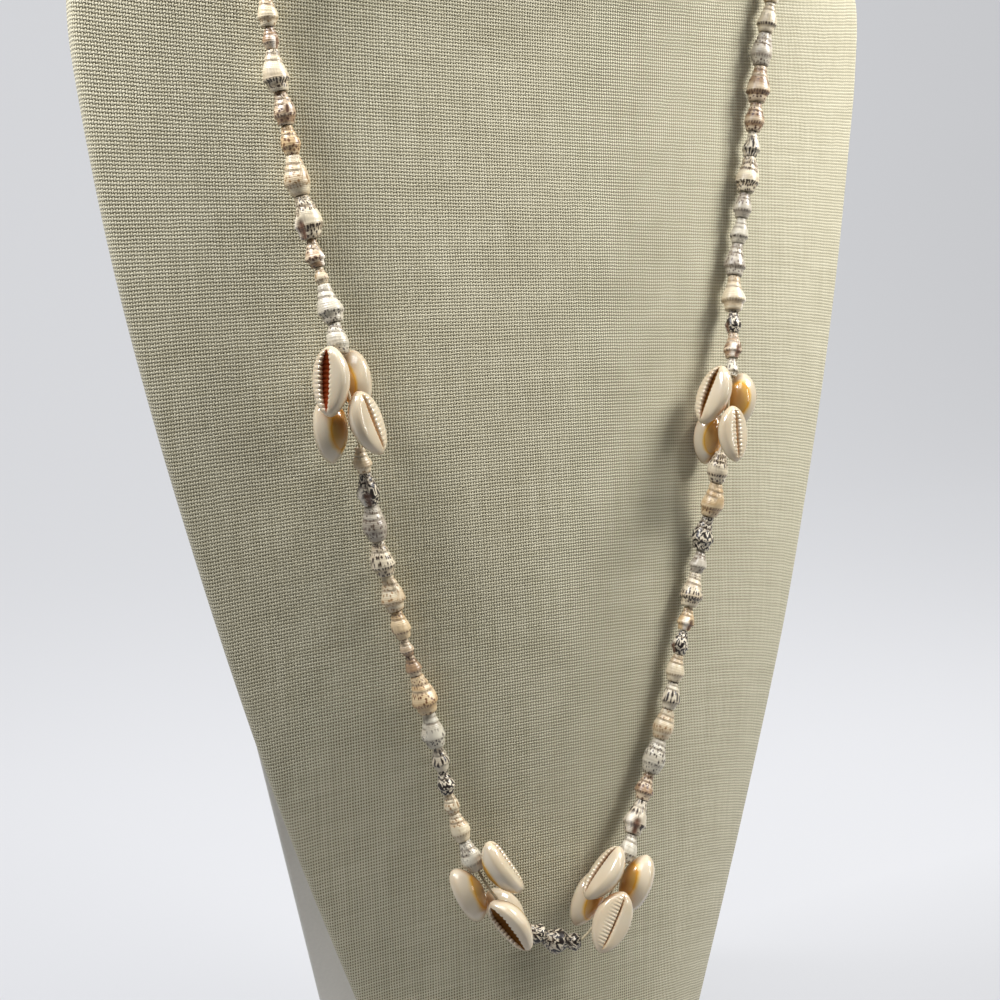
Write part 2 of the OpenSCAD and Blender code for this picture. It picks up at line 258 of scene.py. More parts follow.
def linen_material(name, colour, warp, weft, depth):
    """Plain woven linen: the over and under of real threads gives small dark gaps in rows, and
    uneven yarn gives a soft dry streak along both ways of the cloth. Painted light makes the gaps
    smaller towards the lit side, which lightens it."""
    material, add, shader = new_material(name)
    cloth = add("UVMap", uv_map="cloth")
    # Yarn is thicker and thinner every few millimetres, which shifts the rows a little
    drift = add("TexNoise", {"Vector": cloth, "Scale": 1 / YARN_LUMP, "Detail": 2})
    drift = add("VectorMath", [drift.outputs["Color"], (0.5, 0.5, 0.5)], "SUBTRACT")
    drift = add("VectorMath", {0: drift, "Scale": YARN_SHIFT}, "SCALE")
    moved = add("VectorMath", [cloth, drift], "ADD")
    moved = add("SeparateXYZ", [moved])
    waves, rounds, besides, streaks = [], [], [], []
    for k, pitch in enumerate((warp, weft)):
        turns = add("Math", [moved.outputs[k], pi / pitch], "MULTIPLY")
        waves.append(add("Math", [turns], "SINE"))
        rounds.append(add("Math", [waves[k]], "ABSOLUTE"))
        besides.append(add("Math", [1, rounds[k]], "SUBTRACT"))
        # Streaks are one thread wide and a few centimetres long
        stretch = [STREAKS_ALONG, STREAKS_ALONG, 1]
        stretch[k] = 0.8 / pitch
        streak = add("VectorMath", [cloth, stretch], "MULTIPLY")
        streaks.append(add("TexNoise", {"Vector": streak, "Scale": 1, "Detail": 1}))
    # A thread is highest where it passes over the other
    over = add("Math", [waves[0], waves[1]], "MULTIPLY")
    threads = []
    for k, way in enumerate((0.5, -0.5)):
        top = add("Math", [over, way, 0.5], "MULTIPLY_ADD")
        threads.append(add("Math", [rounds[k], top], "MULTIPLY"))
    height = add("Math", [threads[0], threads[1]], "MAXIMUM")
    # Where the cloth is pulled tighter the gaps open up
    gap = add("Math", [besides[0], besides[1]], "MULTIPLY")
    pull = add("TexNoise", {"Vector": cloth, "Scale": 1 / PULLED_PLACE, "Detail": 3})
    pull = add("MapRange", [pull, 0.35, 0.65, -0.03, 0.04])
    gap = add("Math", [gap, pull], "SUBTRACT")
    # Painted light: towards +X, the side the key light falls on, the dark gaps are made
    # smaller, so that side of the cloth comes out lighter
    place = add("SeparateXYZ", [cloth])
    painted_lit_side = add("MapRange", [place, -0.02, -0.10, 0, 0.14])
    gap = add("Math", [gap, painted_lit_side], "SUBTRACT")
    tone = add("MapRange", [gap, 0.04, 0.42, 0.86, 0])
    streak = add("Math", [streaks[0], streaks[1]], "ADD")
    streak = add("MapRange", [streak, 0.75, 1.25, 0.9, 1.1])
    tone = add("Math", [tone, streak], "MULTIPLY")
    gap_stops = [(0.1, shade(colour, 0.17, 0.15, 0.10)), (0.5, shade(colour, 0.62, 0.60, 0.52))]
    tint = add("ValToRGB", [tone], stops=gap_stops + [(0.98, colour)])
    bump = add("Bump", {"Height": height, "Distance": depth, "Strength": 0.8})
    dry = {"Roughness": 0.82, "Specular IOR Level": 0.25, "Sheen Weight": 0.15}
    wire(shader, {"Base Color": tint, "Normal": bump, **dry})
    return material


# Paper on card: length of a fibre and of a cloudy place, height of a fibre
FIBRE = 0.0012
CLOUD = 0.03
FIBRE_HEIGHT = 0.00006


def board_material(colour):
    """Card covered in smooth cream paper: matt, with a faint fibre so it doesn't look moulded."""
    material, add, shader = new_material("paper covered card")
    place = add("TexCoord").outputs["Object"]
    fibre = add("TexNoise", {"Vector": place, "Scale": 1 / FIBRE, "Detail": 4})
    cloud = add("TexNoise", {"Vector": place, "Scale": 1 / CLOUD, "Detail": 2})
    both = add("Math", [fibre, cloud], "ADD")
    both = add("Math", [both, 0.5], "MULTIPLY")
    tint = add("ValToRGB", [both], stops=[(0.3, shade(colour, 0.9, 0.9, 0.9)), (0.7, colour)])
    bump = add("Bump", {"Height": fibre, "Distance": FIBRE_HEIGHT, "Strength": 0.5})
    wire(shader, {"Base Color": tint, "Normal": bump})
    wire(shader, {"Roughness": 0.6, "Specular IOR Level": 0.35})
    return material


def cotton_material(colour):
    """Twisted cotton: dull, slightly fuzzy, darkened where the two plies meet as painted shade."""
    material, add, shader = new_material("twisted cotton")
    ply_shade = add("Attribute", attribute_name="ply_shade").outputs["Fac"]
    tint = add("ValToRGB", [ply_shade], stops=[(0, shade(colour, 0.55, 0.55, 0.55)), (0.7, colour)])
    wire(shader, {"Base Color": tint, "Roughness": 0.85, "Sheen Weight": 0.3})
    return material


# Index of refraction of the aragonite that shells are made of
SHELL_IOR = 1.53
# Distance in metres over which the painted amber shade reaches into the clefts between cowries
CLEFT_SHADE_REACH = 0.005


def cowrie_material(colour, ring):
    """Polished cowrie enamel: porcelain white sides with a wet gloss, a thin orange ring round a
    warm back, and an inside that is pale, yellow brown or red brown and duller with depth. The
    colour goes over to the inside colour in the rib grooves and into the slit, partly as painted
    shade, and painted amber shade fills the clefts between cowries."""
    material, add, shader = new_material("cowrie enamel")
    place = add("Attribute", attribute_name="place").outputs["Vector"]
    looks = add("Attribute", attribute_name="looks").outputs["Vector"]
    split = add("SeparateXYZ", [place]).outputs
    depth, warmth, dark = add("SeparateXYZ", [looks]).outputs
    # The ring wanders by a millimetre or so
    wander = add("TexNoise", {"Vector": place, "Scale": 2.2, "Detail": 3})
    flat = add("CombineXYZ", [split[0], split[2], 0])
    radius = add("VectorMath", [flat], "LENGTH")
    radius = add("Math", [wander, 0.16, radius], "MULTIPLY_ADD")
    grey_stops = [(0.3, "#b08c58"), (0.6, "#c29c60"), (0.66, "#d09a35"), (0.7, "#dcb765")]
    grey_back = add("ValToRGB", [radius], stops=grey_stops + [(0.77, colour)])
    warm_stops = [(0.3, "#c2985c"), (0.58, "#c69a4c"), (0.67, ring), (0.75, "#dfbb72")]
    warm_back = add("ValToRGB", [radius], stops=warm_stops + [(0.84, colour)])
    side = add("TexNoise", {"Vector": place, "Scale": 1.1, "Detail": 1})
    side = add("ValToRGB", [side], stops=[(0.3, shade(colour, 0.92, 0.88, 0.82)), (0.65, colour)])
    inside = add("ValToRGB", [dark], stops=[(0, "#cbab7c"), (0.5, "#6b4818"), (1, "#6f2a0a")])
    on_back = add("MapRange", [split[1], 0.02, 0.2])
    depth = add("MapRange", [depth, 0.12, 0.7])
    # Painted shade: where ambient occlusion finds the clefts between cowries, the colour goes over
    # to amber brown, standing in for the warm shade there
    painted_cleft_shade = add("AmbientOcclusion", {"Distance": CLEFT_SHADE_REACH}, samples=6).outputs["AO"]
    painted_cleft_shade = add("MapRange", [painted_cleft_shade, 0.25, 0.8, 0.7, 0])
    solid = add("Math", [1, depth], "SUBTRACT")
    painted_cleft_shade = add("Math", [painted_cleft_shade, solid], "MULTIPLY")
    skin = add("Mix", {"Factor": warmth, "A": grey_back, "B": warm_back}, data_type="RGBA")
    skin = add("Mix", {"Factor": on_back, "A": side, "B": skin}, data_type="RGBA")
    # Partly painted shade: the colour darkens to the inside colour in rib grooves and into the
    # slit
    skin = add("Mix", {"Factor": depth, "A": skin, "B": inside}, data_type="RGBA")
    skin = add("Mix", {"Factor": painted_cleft_shade, "A": skin, "B": rgba("#b47228")}, data_type="RGBA")
    # The inside is dull, so the slit stays dark between its teeth
    surface = {"Base Color": skin}
    ends = {"Roughness": (0.16, 0.7), "Coat Weight": (0.6, 0), "Specular IOR Level": (0.5, 0.05)}
    for key, (outside, deep) in ends.items():
        surface[key] = add("MapRange", [depth, 0, 1, outside, deep])
    wire(shader, surface)
    wire(shader, {"IOR": SHELL_IOR, "Coat Roughness": 0.04, "Subsurface Weight": 0.12})
    wire(shader, {"Subsurface Radius": (1, 0.6, 0.35), "Subsurface Scale": 0.0015})
    return material


# Kinds of small shell: ground, cloud, mark, size of a mark round the shell and along it in
# millimetres, share of it that is coloured, whether the marks are zigzag lines, disorder, band,
# strength of the row of dashes round the rim
SHELL_KINDS = {
    "c": ("cream", "#d2c4a6", "#bda27c", "#94734c", 1.1, 1.3, 0.22, False, 0.9, 0.5, 0.5),
    "t": ("tan", "#cfb891", "#b5915f", "#6e4a2e", 1, 1.2, 0.26, False, 0.8, 0.5, 0.7),
    "n": ("netted", "#dbd0b8", "#c4b69c", "#1e1410", 2.1, 1.7, 0.3, True, 0.9, 0.2, 0.3),
    "d": ("dashed", "#d9ccb0", "#b5a284", "#3a2a1e", 0.8, 1.3, 0.3, False, 0.7, 0.6, 1),
    "b": ("banded", "#cfbb9d", "#957757", "#5a3f30", 1.4, 1.2, 0.24, False, 0.7, 0.9, 0.8),
    "w": ("white", "#cdc6b2", "#b3a893", "#4a4038", 0.9, 1.2, 0.24, False, 0.9, 0.5, 0.4),
    "s": ("striped", "#d1c6ae", "#b1a086", "#2b211b", 1, 3.2, 0.30, False, 0.8, 0.3, 0.4),
    "p": ("grey", "#c6bdaa", "#9f9483", "#665648", 1, 1.2, 0.22, False, 0.8, 0.8, 0.6),
}
# In millimetres: from one dash on the rim to the next, from one spiral cord to the next
DASH_STEP = 0.75
CORD_STEP = 0.45
# Height of a cord in metres, and where the rim lies, as a share of the shell's length
CORD_HEIGHT = 0.00003
RIM_AT = 0.745


def small_shell_material(kind):
    """Worn dove shell: chalky gloss, colour laid in cells along the spiral, white lip, brown mouth
    and fine spiral cords that catch the light. The creases between whorls and the drilled hole
    are darkened as painted shade, and the brown of the mouth is partly painted shade."""
    name, ground, cloud, mark, around, along, cover, lines, disorder, band, rim = SHELL_KINDS[kind]
    material, add, shader = new_material(f"{name} dove shell")
    turn = add("Attribute", attribute_name="turn").outputs["Vector"]
    looks = add("Attribute", attribute_name="looks").outputs["Vector"]
    crease_and_bore_shade, lip, mouth = add("SeparateXYZ", [looks]).outputs
    stir = add("TexNoise", {"Vector": turn, "Scale": 0.9, "Detail": 2})
    stir = add("VectorMath", {0: stir.outputs["Color"], "Scale": 2.6 if lines else 0.8}, "SCALE")
    place = add("VectorMath", [turn, stir], "ADD")
    moved = add("SeparateXYZ", [place]).outputs
    split = add("SeparateXYZ", [turn]).outputs
    if lines:
        # Zigzag lines climb round the shell and leave white tents between them
        zig = add("Math", [moved[0], around / 2], "PINGPONG")
        phase = add("Math", [zig, 1.3, moved[1]], "MULTIPLY_ADD")
        phase = add("Math", [phase, tau / along], "MULTIPLY")
        wave = add("Math", [phase], "SINE")
        amount = add("MapRange", [wave, cover - 0.25, cover + 0.25, 1, 0])
    else:
        cells = add("VectorMath", [place, (1 / around, 1 / along, 1)], "MULTIPLY")
        spots = {"Vector": cells, "Scale": 1, "Randomness": disorder}
        spots = add("TexVoronoi", spots, voronoi_dimensions="2D")
        spots = spots.outputs["Distance"]
        spots = add("MapRange", [spots, cover - 0.06, cover + 0.09, 1, 0])
        # The marks come in bands round the shell, with clear bands between
        zone = add("CombineXYZ", [7, split[1], split[2]])
        zone = add("TexNoise", {"Vector": zone, "Scale": 0.4, "Detail": 0})
        zone = add("MapRange", [zone, 0.4, 0.48, 0.15, 1])
        amount = add("Math", [spots, zone], "MULTIPLY")
    bands = add("CombineXYZ", [0, split[1], split[2]])
    bands = add("TexNoise", {"Vector": bands, "Scale": 0.55, "Detail": 1})
    bands = add("MapRange", [bands, 0.46, 0.56, 0, band])
    # A row of dark dashes round the widest part
    rise = add("Attribute", attribute_name="rise").outputs["Fac"]
    row = add("Math", [rise, RIM_AT], "SUBTRACT")
    row = add("Math", [row], "ABSOLUTE")
    row = add("MapRange", [row, 0.03, 0.055, rim, 0])
    dash = add("Math", [moved[0], tau / DASH_STEP], "MULTIPLY")
    dash = add("Math", [dash], "SINE")
    dash = add("MapRange", [dash, -0.35, 0.25])
    dash = add("Math", [dash, row], "MULTIPLY")
    skin = rgba(ground)
    layers = [(bands, cloud), (amount, mark), (dash, mark)]
    # Painted shade in the creases and the drilled hole, and partly in the brown mouth
    layers += [(crease_and_bore_shade, "#8a7763"), (lip, "#e8dfcf"), (mouth, "#6b4a36")]
    for share, paint in layers:
        skin = add("Mix", {"Factor": share, "A": skin, "B": rgba(paint)}, data_type="RGBA")
    cords = add("Math", [split[1], tau / CORD_STEP], "MULTIPLY")
    cords = add("Math", [cords], "SINE")
    cords = add("Bump", {"Height": cords, "Distance": CORD_HEIGHT, "Strength": 0.5})
    worn = {"Roughness": 0.36, "IOR": SHELL_IOR, "Coat Weight": 0.2, "Coat Roughness": 0.25}
    wire(shader, {"Base Color": skin, "Normal": cords, **worn})
    return material


def mesh_object(name, points, faces, materials, slots=None, values=None, cloth=None):
    """A smooth mesh object from points in millimetres, with a material slot for each face, point
    values and a cloth map if they are given."""
    mesh = bpy.data.meshes.new(name)
    mesh.from_pydata((np.asarray(points, float) * MM).tolist(), [], [list(f) for f in faces])
    for material in materials:
        mesh.materials.append(material)
    if slots is not None:
        mesh.polygons.foreach_set("material_index", slots)
    mesh.polygons.foreach_set("use_smooth", [True] * len(mesh.polygons))
    for key, value in (values or {}).items():
        value = np.asarray(value, np.float32)
        kind, field = ("FLOAT_VECTOR", "vector") if value.ndim == 2 else ("FLOAT", "value")
        mesh.attributes.new(key, kind, "POINT").data.foreach_set(field, value.ravel())
    if cloth is not None:
        mesh.uv_layers.new(name="cloth").data.foreach_set("uv", (np.asarray(cloth) * MM).ravel())
    mesh.validate()
    made = bpy.data.objects.new(name, mesh)
    bpy.context.scene.collection.objects.link(made)
    return made


def bridge(a, b, count, way=1, closed=True):
    """Faces between two rows of points, from the number of the first point of each."""
    faces = []
    for j in range(count if closed else count - 1):
        k = (j + 1) % count
        faces.append((a + j, a + k, b + k, b + j)[::way])
    return faces


def skin(rows, count, closed=True, flip=False):
    """Faces between rows of count points each."""
    faces = []
    for first in range(0, (rows - 1) * count, count):
        faces += bridge(first, first + count, count, -1 if flip else 1, closed)
    return faces


def closed_skin(rows, count, flip=False):
    """Faces between rows of count points each, with a lid on both ends."""
    lids = [list(range(count))[::-1], list(range((rows - 1) * count, rows * count))]
    return skin(rows, count, flip=flip) + [lid[::-1] if flip else lid for lid in lids]


def blend(a, b, c, d, t):
    """A smooth curve through b and c, with a before them and d after them."""
    cubic = (3 * b - a - 3 * c + d) * t**3
    return (2 * b + (c - a) * t + (2 * a - 5 * b + 4 * c - d) * t * t + cubic) / 2


def levels(steps):
    """The bust's sections with a number of steps from each to the next."""
    rows = [np.array(row, float) for row in SECTIONS]
    last = len(rows) - 1
    made = [
        blend(rows[max(i - 1, 0)], rows[i], rows[i + 1], rows[min(i + 2, last)], k / steps)
        for i in range(last)
        for k in range(steps)
    ]
    return np.array(made + [rows[last]])


# The source has three steps between sections, and the cloth needs more to look smooth
SOURCE_LEVELS = levels(3)
FINE_LEVELS = levels(10)


def back_y(z):
    """How far back the bust's flat back lies at a height."""
    return LEAN * (z - CROSS_H)


def section(z, table):
    """Half width, edge thickness and swell of the bust at a height."""
    return [float(np.interp(z, table[:, 0], table[:, k])) for k in (1, 2, 3)]


def front_y(x, z):
    """How far forward the front of the bust lies at a place and height."""
    half, edge, swell = section(z, SOURCE_LEVELS)
    return back_y(z) - edge - swell * (1 - min(abs(x) / half, 1) ** 2)


def unit(v):
    """A vector scaled to a length of 1."""
    return v / np.linalg.norm(v)


def front_place(row):
    """A point of the loop that lies off the front of the bust."""
    x, z, lift = row
    slope_x = front_y(x + 0.5, z) - front_y(x - 0.5, z)
    slope_z = front_y(x, z + 0.5) - front_y(x, z - 0.5)
    return np.array([x, front_y(x, z), z]) + lift * unit(np.array([slope_x, -1, slope_z]))


def back_place(row, side):
    """A point of the loop over the shoulder or behind the neck."""
    return np.array([side * row[0], back_y(row[2]) - row[1], row[2]])


def loop_curve():
    """The loop's points and their distances, from the middle of the back and over the left
    shoulder first."""
    route = [back_place(BACK_MIDDLE, 1)]
    route += [back_place(row, -1) for row in reversed(OVER_SHOULDER)]
    route += [front_place(row) for row in LEFT_FRONT + RIGHT_FRONT]
    route += [back_place(row, 1) for row in OVER_SHOULDER]
    n = len(route)
    curve = [
        blend(route[i - 1], route[i], route[(i + 1) % n], route[(i + 2) % n], k / ROUTE_STEPS)
        for i in range(n)
        for k in range(ROUTE_STEPS)
    ]
    curve = np.array(curve + [route[0]])
    steps = np.linalg.norm(np.diff(curve, axis=0), axis=1)
    return curve, np.concatenate([[0], np.cumsum(steps)])


CURVE, DISTANCES = loop_curve()
LOOP = float(DISTANCES[-1])


def along(s):
    """The point of the loop at a distance along it."""
    return np.array([np.interp(s, DISTANCES, CURVE[:, k]) for k in range(3)])


CLUSTER_AT = [
    DISTANCES[(1 + len(OVER_SHOULDER) + i) * ROUTE_STEPS]
    for i, row in enumerate(LEFT_FRONT + RIGHT_FRONT)
    if row[2] == CLUSTER_OFF
]
KNOTS = [0, *CLUSTER_AT, LOOP]


def joints(i):
    """Ends of the small shells of a string, as distances along the loop."""
    before, after, digits = STRINGS[i][:3]
    lengths = np.array([int(c, 16) for c in digits], float)
    start, end = KNOTS[i] + before, KNOTS[i + 1] - after
    return start + (end - start) / lengths.sum() * np.concatenate([[0], np.cumsum(lengths)])


# Bust: radius of its long edges, rows of points up it, and the rounding of its two ends, as
# height from the end and how far the outline is set in
EDGE_RADIUS = 2.4
CLOTH_ROWS = 170
END_ROUNDING = [(0, 2), (0.25, 1.25), (0.8, 0.5), (2, 0)]
# Card on the back: distance from the bust's outline, and of its two faces off the back
CARD_INSET = 6
CARD_INNER = 0.02
CARD_OUTER = 0.22
# Height of a thread of the bust's linen and of the hinge's, in metres
BUST_WEAVE = 0.00028
TAPE_WEAVE = 0.0002


def bust_ring(z, inset):
    """One section of the bust with rounded edges, from the middle of the back round by its right
    side, and the distance of each point along the cloth from the middle of the front."""
    half, edge, swell = section(z, FINE_LEVELS)
    half -= inset
    back = back_y(z) - inset
    face = back_y(z) - edge + inset * 0.4
    r = min(EDGE_RADIUS, edge * 0.4)

    def front(x):
        return face - swell * (1 - min(abs(x) / half, 1) ** 2)

    def corner(start, bend, end, steps):
        """A rounded corner, without its first point."""
        made = []
        for t in [k / steps for k in range(1, steps + 1)]:
            near, mid, far = (1 - t) ** 2, 2 * t * (1 - t), t * t
            made.append(tuple(near * a + mid * b + far * c for a, b, c in zip(start, bend, end)))
        return made

    right = [(x, back) for x in np.linspace(0, half - r, 10)]
    right += corner((half - r, back), (half, back), (half, back - r), 5)
    right += [(half, y) for y in np.linspace(back - r, face + r, 5)[1:]]
    right += corner((half, face + r), (half, face), (half - r, front(half - r)), 6)
    right += [(x, front(x)) for x in np.linspace(half - r, 0, 44)[1:]]
    left = [(-x, y) for x, y in right[-2:0:-1]]
    ring = np.array([(x, y, z) for x, y in right + left])
    steps = np.linalg.norm(np.diff(np.vstack([ring, ring[:1]]), axis=0), axis=1)
    u = np.concatenate([[0], np.cumsum(steps)])
    return ring, u - u[len(right) - 1]


def make_bust(colours, sizes):
    """The padded bust: front, turned edges and ends, with the cloth lying level across it."""
    top = SECTIONS[-1][0]
    rows = list(END_ROUNDING)
    rows += [(float(z), 0) for z in np.linspace(5, top - 5, CLOTH_ROWS)]
    rows += [(top - h, inset) for h, inset in reversed(END_ROUNDING)]
    rings, maps = zip(*[bust_ring(z, inset) for z, inset in rows])
    count = len(rings[0])
    points = [p for ring in rings for p in ring]
    faces = skin(len(rings), count, flip=True)
    # The weft rows are drawn square to the slanting sides, so they bow down low on the bust and up
    # high on it
    heights = [
        z * 1.01 + (0.5 - 0.0025 * (z - 100)) * ring[:, 0] ** 2 / (2 * section(z, FINE_LEVELS)[0])
        for (z, _), ring in zip(rows, rings)
    ]
    cloth = []
    for i in range(len(rings) - 1):
        for j in range(count):
            corners = [(i, j), (i, j + 1), (i + 1, j + 1), (i + 1, j)]
            cloth += [(maps[a][b], heights[a][b % count]) for a, b in reversed(corners)]
    # Both ends close in smaller and smaller rings round a small lid
    for ring, outer, way in ((rings[0], 0, 1), (rings[-1], (len(rings) - 1) * count, -1)):
        first = len(points)
        middle = np.array([0, (ring[:, 1].max() + ring[:, 1].min()) / 2, ring[0][2]])
        points += [p for share in (0.7, 0.4, 0.1) for p in middle + (ring - middle) * share]
        starts = [outer] + [first + k * count for k in range(3)]
        lids = []
        for a, b in zip(starts, starts[1:]):
            lids += bridge(a, b, count, way)
        lids.append(list(range(starts[-1], starts[-1] + count))[::way])
        faces += lids
        cloth += [(points[p][0], points[p][1]) for lid in lids for p in lid]
    weave = (sizes.warp_pitch, sizes.weft_pitch, BUST_WEAVE)
    linen = linen_material("plain woven linen", tuple(colours.linen), *weave)
    bust = mesh_object("linen_bust", points, faces, [linen], cloth=cloth)
    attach(bust, "root")
    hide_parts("bust")

    # Thin card over the turned edges of the cloth on the back
    panel, rows, count = [], 90, 17
    for z in np.linspace(CARD_INSET, top - CARD_INSET, rows):
        half, y = section(z, FINE_LEVELS)[0] - CARD_INSET, back_y(z)
        panel += [(x, y + CARD_INNER, z) for x in np.linspace(-half, half, count)]
        panel += [(x, y + CARD_OUTER, z) for x in np.linspace(half, -half, count)]
    faces = closed_skin(rows, 2 * count)
    card = mesh_object("back_card", panel, faces, [board_material(tuple(colours.board))])
    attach(card, "root")


# Leg: rounding of its two ends, as share of the length from the end and how far the outline is
# set in
LEG_ROUNDING = [(0, 0.9), (0.004, 0.2), (0.01, 0)]
LEG_ROWS = 30
# Hinge tape: half its thickness, and how much narrower than the leg it is on each side
TAPE_HALF = 0.2
TAPE_INSET = 8


def make_leg(colours, sizes):
    """The fold-out leg: a rounded board and the cloth hinge that holds it."""
    paper = bpy.data.materials.get("paper covered card") or board_material(tuple(colours.board))
    top_y, top_half = back_y(FOLD_H) + SEAT_GAP, section(FOLD_H, SOURCE_LEVELS)[0] - 2
    rows = LEG_ROUNDING + [(k / LEG_ROWS, 0) for k in range(1, LEG_ROWS)]
    rows += [(1 - t, inset) for t, inset in reversed(LEG_ROUNDING)]
    points = []
    for t, inset in rows:
        z = FOLD_H * (1 - t)
        y = top_y + (LEG_FOOT - LEG_T - top_y) * t
        half = top_half + (LEG_FOOT_HALF - top_half) * t - inset
        a, b = y + inset, y + LEG_T - inset
        ring = [(x, a) for x in np.linspace(-half + 1, half - 1, 13)]
        ring += [(half - 0.35, a + 0.3), (half, (a + b) / 2), (half - 0.35, b - 0.3)]
        ring += [(x, b) for x in np.linspace(half - 1, -half + 1, 13)]
        ring += [(-half + 0.35, b - 0.3), (-half, (a + b) / 2), (-half + 0.35, a + 0.3)]
        points += [(x, y, z) for x, y in ring]
    faces = closed_skin(len(rows), len(ring), flip=True)
    leg = mesh_object("leg_board", points, faces, [paper])
    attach(leg, "root")
    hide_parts("back_leg")

    # The tape runs down the back, over the top of the leg and down the leg
    slope = (LEG_FOOT - LEG_T - top_y) / FOLD_H
    leg_y = top_y + LEG_T
    path = [(back_y(FOLD_H + h) + 0.5, FOLD_H + h) for h in (17, 12, 8, 5, 3)]
    path += [(top_y + 1.6, FOLD_H + 1), (leg_y - 0.2, FOLD_H + 0.6), (leg_y + 0.5, FOLD_H - 0.6)]
    path += [(leg_y + 0.3 + slope * h, FOLD_H - h) for h in (3, 7, 12, 16)]
    half, count = top_half - TAPE_INSET, 9
    strip = []
    for k, (y, z) in enumerate(path):
        before, after = path[max(k - 1, 0)], path[min(k + 1, len(path) - 1)]
        ty, tz = after[0] - before[0], after[1] - before[1]
        size = hypot(ty, tz)
        ny, nz = -tz / size * TAPE_HALF, ty / size * TAPE_HALF
        strip += [(x, y + ny, z + nz) for x in np.linspace(-half, half, count)]
        strip += [(x, y - ny, z - nz) for x in np.linspace(half, -half, count)]
    faces = closed_skin(len(path), 2 * count)
    cloth = [(strip[p][0], strip[p][2]) for face in faces for p in face]
    weave = (sizes.warp_pitch, sizes.weft_pitch, TAPE_WEAVE)
    tape = linen_material("linen hinge tape", tuple(colours.linen), *weave)
    hinge = mesh_object("hinge_tape", strip, faces, [tape], cloth=cloth)
    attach(hinge, "root")


# Thread: length of a step along it, length of a full twist of its two plies, points round it
THREAD_STEP = 0.6
TWIST = 4.8
THREAD_SIDES = 12


def make_thread(colours, sizes):
    """One closed loop of two plies, so that a ply comes up every 2.4 mm."""
    count = int(LOOP / THREAD_STEP)
    r = sizes.thread / MM / 2
    middle = np.array([0, back_y(250) - 12, 250])
    points, ply_shade = [], []
    for i in range(count):
        s = LOOP * i / count
        here = along(s)
        t = unit(along((s + 1) % LOOP) - along((s - 1) % LOOP))
        u = unit(np.cross(t, here - middle))
        v = np.cross(t, u)
        twist = tau * round(LOOP / TWIST) * i / count
        for j in range(THREAD_SIDES):
            a = tau * j / THREAD_SIDES
            ply = abs(cos(a - twist))
            points.append(here + r * (0.72 + 0.28 * ply) * (cos(a) * u + sin(a) * v))
            # Low between the plies, where the colour is painted darker as painted shade
            ply_shade.append(ply)
    faces = skin(count, THREAD_SIDES)
    faces += bridge((count - 1) * THREAD_SIDES, 0, THREAD_SIDES)
    cotton = cotton_material(tuple(colours.thread))
    thread = mesh_object("cotton_thread", points, faces, [cotton], values={"ply_shade": ply_shade})
    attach(thread, "root")
    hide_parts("thread")


# Outlines of two sorts of small shell from the tip to the mouth end: share of the length, share
# of the half width of a flared cone, share of the half width of a plump whorl
WORN_OUTLINES = np.array([
    (0, 0.48, 0.52), (0.08, 0.53, 0.61), (0.15, 0.56, 0.67), (0.17, 0.53, 0.63),
    (0.30, 0.70, 0.82), (0.33, 0.67, 0.79), (0.46, 0.83, 0.94), (0.60, 0.97, 1),
    (0.69, 1.04, 0.99), (0.745, 1.02, 0.95), (0.785, 0.84, 0.90), (0.84, 0.77, 0.84),
    (0.93, 0.75, 0.77), (1, 0.68, 0.66),
])
# Creases between the whorls, as shares of the length, and how deep each place is
CREASES = ((0.11, 0.155, 0.2, 0.285, 0.33, 0.38), (0, 1, 0, 0, 1, 0))
# Points round a small shell and along it, and how far its whorls climb in a turn, as a share of
# its length
SHELL_SIDES = 28
SHELL_ROWS = 36
CLIMB = 0.17
# Share of the shells that show a mouth, knobs round the shoulder, and depth of the drilled hole
# that shows at each end, in millimetres
MOUTHED = 0.3
KNOBS = 11
RIM_DEPTH = 0.8
# A point ahead of the strand, from which the turn of each shell is counted
AHEAD = np.array([-0.42, -0.9, 0.1])


def ramp(x):
    """A value kept between 0 and 1."""
    return max(0, min(1, x))


